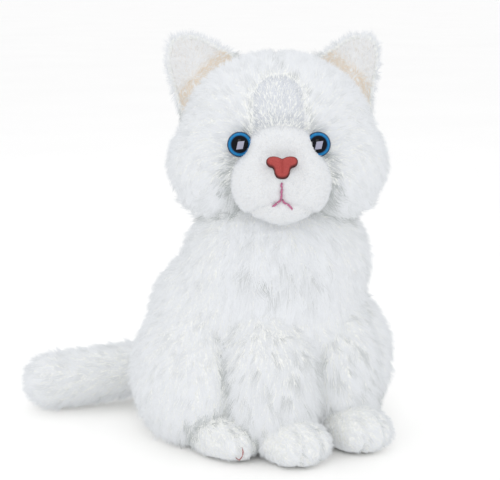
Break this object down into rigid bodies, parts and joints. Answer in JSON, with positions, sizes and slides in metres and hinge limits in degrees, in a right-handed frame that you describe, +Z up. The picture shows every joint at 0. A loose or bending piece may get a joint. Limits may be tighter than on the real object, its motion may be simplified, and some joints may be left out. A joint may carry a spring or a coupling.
{
  "type": "plush cat",
  "caption": "Sitting white plush cat: stuffed torso, haunches, forelegs with paws, turned head with ears, blue dome eyes, red nose and stitched mouth, and a thick tail laid to one side",
  "frame": {"origin": "on the flat underside of the seat, in the cat's own plane of symmetry, below the middle of the belly", "axes": "+Z up; the body faces -Y; the cat's own left side is +X"},
  "size_m": [0.2279, 0.2319, 0.2669],
  "materials": {
    "pile_fabric": "long white plush pile, matte",
    "short_pile": "shorn white plush pile, matte",
    "ear_velour": "short velour, pale beige",
    "fibre_fill": "loose polyester fibre",
    "bag_cloth": "plain woven cotton",
    "clear_plastic": "clear polished dome over a black pupil",
    "iris_foil": "metallic blue, glossy",
    "white_plastic": "moulded white plastic",
    "nose_flock": "flocked salmon red",
    "pink_thread": "twisted embroidery thread"
  },
  "bodies": {
    "body": {"seat_panel": "short_pile", "chest_panel": "pile_fabric", "back_panel_left": "pile_fabric", "back_panel_right": "pile_fabric", "pellet_bag": "bag_cloth", "body_stuffing": "fibre_fill", "haunch_panel_left": "pile_fabric", "haunch_stuffing_left": "fibre_fill", "hind_foot_sole_left": "short_pile", "hind_foot_top_left": "pile_fabric", "hind_foot_stuffing_left": "fibre_fill", "haunch_panel_right": "pile_fabric", "haunch_stuffing_right": "fibre_fill", "hind_foot_sole_right": "short_pile", "hind_foot_top_right": "pile_fabric", "hind_foot_stuffing_right": "fibre_fill"},
    "neck": {"neck_sleeve": "short_pile", "neck_stuffing": "fibre_fill"},
    "head": {"forehead_gusset": "short_pile", "throat_panel": "pile_fabric", "head_side_panel_left": "pile_fabric", "head_side_panel_right": "pile_fabric", "head_stuffing": "fibre_fill", "muzzle_panel": "short_pile", "chin_panel": "short_pile", "muzzle_stuffing": "fibre_fill", "eye_lens_left": "clear_plastic", "eye_iris_left": "iris_foil", "eye_post_left": "white_plastic", "eye_washer_left": "white_plastic", "eye_lens_right": "clear_plastic", "eye_iris_right": "iris_foil", "eye_post_right": "white_plastic", "eye_washer_right": "white_plastic", "nose": "nose_flock", "nose_post": "white_plastic", "nose_washer": "white_plastic", "mouth_stitch": "pink_thread"},
    "ear_left": {"ear_back_left": "pile_fabric", "ear_lining_left": "ear_velour"},
    "ear_right": {"ear_back_right": "pile_fabric", "ear_lining_right": "ear_velour"},
    "foreleg_left": {"foreleg_front_panel_left": "pile_fabric", "foreleg_back_panel_left": "pile_fabric", "foreleg_stuffing_left": "fibre_fill", "paw_sole_left": "short_pile", "paw_top_left": "pile_fabric", "paw_stuffing_left": "fibre_fill"},
    "foreleg_right": {"foreleg_front_panel_right": "pile_fabric", "foreleg_back_panel_right": "pile_fabric", "foreleg_stuffing_right": "fibre_fill", "paw_sole_right": "short_pile", "paw_top_right": "pile_fabric", "paw_stuffing_right": "fibre_fill"},
    "tail_root": {"tail_gusset": "short_pile"},
    "tail": {"tail_upper_panel": "pile_fabric", "tail_lower_panel": "pile_fabric", "tail_stuffing": "fibre_fill"}
  },
  "joints": [
    {"name": "head_turn", "type": "hinge", "parent": "body", "child": "neck", "pos_m": [0, -0.02, 0.15], "axis": [0, 0, 1], "range_deg": [-15, 40], "stiffness_Nm_per_rad": 1},
    {"name": "head_nod", "type": "hinge", "parent": "neck", "child": "head", "pos_m": [0, -0.02, 0.15], "axis": [0.848, -0.5299, 0], "range_deg": [-8, 8], "stiffness_Nm_per_rad": 1.5},
    {"name": "ear_fold_left", "type": "hinge", "parent": "head", "child": "ear_left", "pos_m": [0.04548, -0.03309, 0.23503], "axis": [0.6144, -0.4868, -0.6209], "range_deg": [-20, 25], "stiffness_Nm_per_rad": 0.03},
    {"name": "ear_fold_right", "type": "hinge", "parent": "head", "child": "ear_right", "pos_m": [-0.0317, 0.01514, 0.23503], "axis": [0.7069, -0.3388, 0.6209], "range_deg": [-20, 25], "stiffness_Nm_per_rad": 0.03},
    {"name": "foreleg_swing_left", "type": "hinge", "parent": "body", "child": "foreleg_left", "pos_m": [0.028, -0.048, 0.096], "axis": [-1, 0, 0], "range_deg": [0, 15], "stiffness_Nm_per_rad": 0.8},
    {"name": "foreleg_swing_right", "type": "hinge", "parent": "body", "child": "foreleg_right", "pos_m": [-0.028, -0.048, 0.096], "axis": [-1, 0, 0], "range_deg": [0, 15], "stiffness_Nm_per_rad": 0.8},
    {"name": "tail_swing", "type": "hinge", "parent": "body", "child": "tail_root", "pos_m": [-0.014, 0.074, 0.029], "axis": [0, 0, 1], "range_deg": [-60, 5], "stiffness_Nm_per_rad": 0.5},
    {"name": "tail_lift", "type": "hinge", "parent": "tail_root", "child": "tail", "pos_m": [-0.014, 0.074, 0.029], "axis": [0.3134, 0.9496, 0], "range_deg": [0, 20], "stiffness_Nm_per_rad": 0.8}
  ]
}
